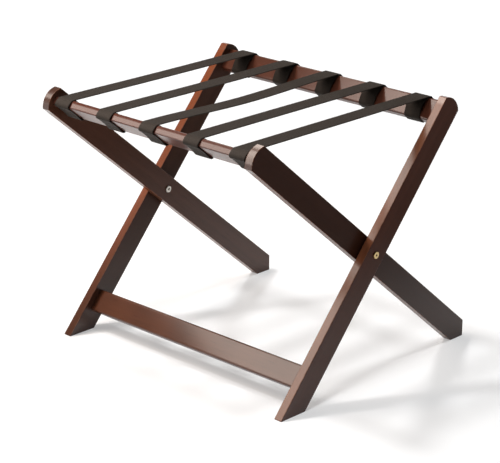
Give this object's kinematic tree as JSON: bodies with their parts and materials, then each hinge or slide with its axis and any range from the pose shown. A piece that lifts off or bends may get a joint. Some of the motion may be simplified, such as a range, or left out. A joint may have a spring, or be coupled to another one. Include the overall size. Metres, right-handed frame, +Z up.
{
  "type": "folding luggage bench",
  "caption": "Folding wooden luggage bench: two leg frames crossed at a pivot, joined at the top by level webbing straps that carry a suitcase.",
  "frame": {"origin": "on the floor, in the middle of the object's box: midway between the outer legs, and midway between the tips of the inner legs' upper ends and their rear heels", "axes": "+X along the rails to the right, +Y from the front rail to the back rail, +Z up"},
  "size_m": [0.6052, 0.6202, 0.5284],
  "materials": {
    "frame_wood": "dark brown stain under satin lacquer, hardly any grain",
    "dowel_wood": "plain beech, unfinished",
    "webbing": "charcoal woven webbing with narrow selvedges",
    "bolt_brass": "antique brass, dark in its hexagon socket",
    "nut_nickel": "nickel plated",
    "spacer_nylon": "black nylon"
  },
  "bodies": {
    "outer_frame": {"outer_leg_left": "frame_wood", "outer_leg_right": "frame_wood", "back_rail": "frame_wood", "back_rail_dowels": "dowel_wood", "stretcher": "frame_wood", "stretcher_dowels": "dowel_wood", "pivot_bolt_left": "bolt_brass", "pivot_bolt_right": "bolt_brass", "pivot_sleeve_nut_left": "nut_nickel", "pivot_sleeve_nut_right": "nut_nickel", "pivot_spacer_left": "spacer_nylon", "pivot_spacer_right": "spacer_nylon", "strap_1_back_loop": "webbing", "strap_2_back_loop": "webbing", "strap_3_back_loop": "webbing", "strap_4_back_loop": "webbing", "strap_5_back_loop": "webbing", "strap_1_deck": "webbing", "strap_2_deck": "webbing", "strap_3_deck": "webbing", "strap_4_deck": "webbing", "strap_5_deck": "webbing"},
    "inner_frame": {"inner_leg_left": "frame_wood", "inner_leg_right": "frame_wood", "front_rail": "frame_wood", "front_rail_dowels": "dowel_wood", "strap_1_front_loop": "webbing", "strap_2_front_loop": "webbing", "strap_3_front_loop": "webbing", "strap_4_front_loop": "webbing", "strap_5_front_loop": "webbing"}
  },
  "joints": [
    {"name": "fold", "type": "hinge", "parent": "outer_frame", "child": "inner_frame", "pos_m": [0, 0.0033, 0.259], "axis": [-1, 0, 0], "range_deg": [0, 82.5], "deforming": ["strap_1_deck", "strap_2_deck", "strap_3_deck", "strap_4_deck", "strap_5_deck"]}
  ]
}
